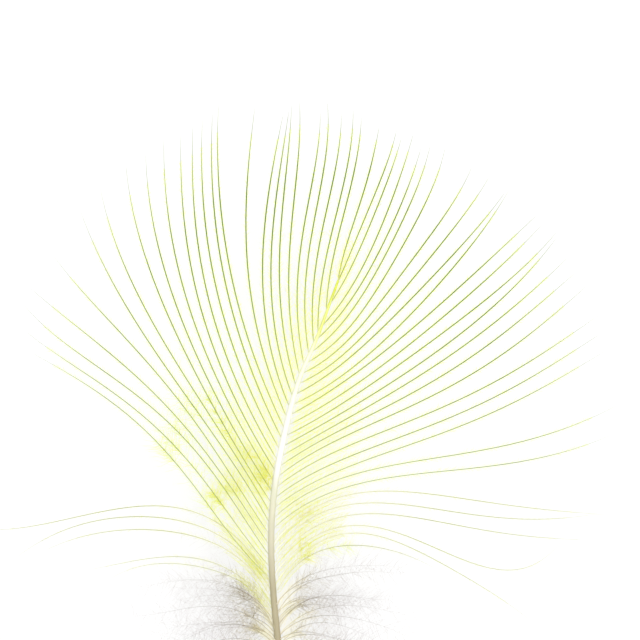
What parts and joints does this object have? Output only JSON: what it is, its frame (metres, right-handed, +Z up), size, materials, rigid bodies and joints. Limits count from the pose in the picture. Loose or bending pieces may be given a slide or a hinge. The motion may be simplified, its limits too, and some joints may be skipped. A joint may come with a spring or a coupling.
{
  "type": "feather",
  "caption": "Small loose green body feather with a thin arched shaft, an open fan of free barbs, drooping lower barbs and downy base, lying on its hollow side",
  "frame": {"origin": "under the middle of the feather's box, on the surface that the feather lies on", "axes": "+Y runs along the feather from the quill to the apex, +X is to the right seen from above, +Z is up out of the feather's outer side"},
  "size_m": [0.0382, 0.0436, 0.006],
  "materials": {
    "barbs": "soft matte, yellower towards the shaft and paler at the tips",
    "shaft": "smooth and slightly glossy, like horn",
    "fluff": "soft matte, thin and translucent",
    "down": "soft matte, fluffy"
  },
  "bodies": {
    "root": {"feather": "barbs"}
  },
  "joints": []
}
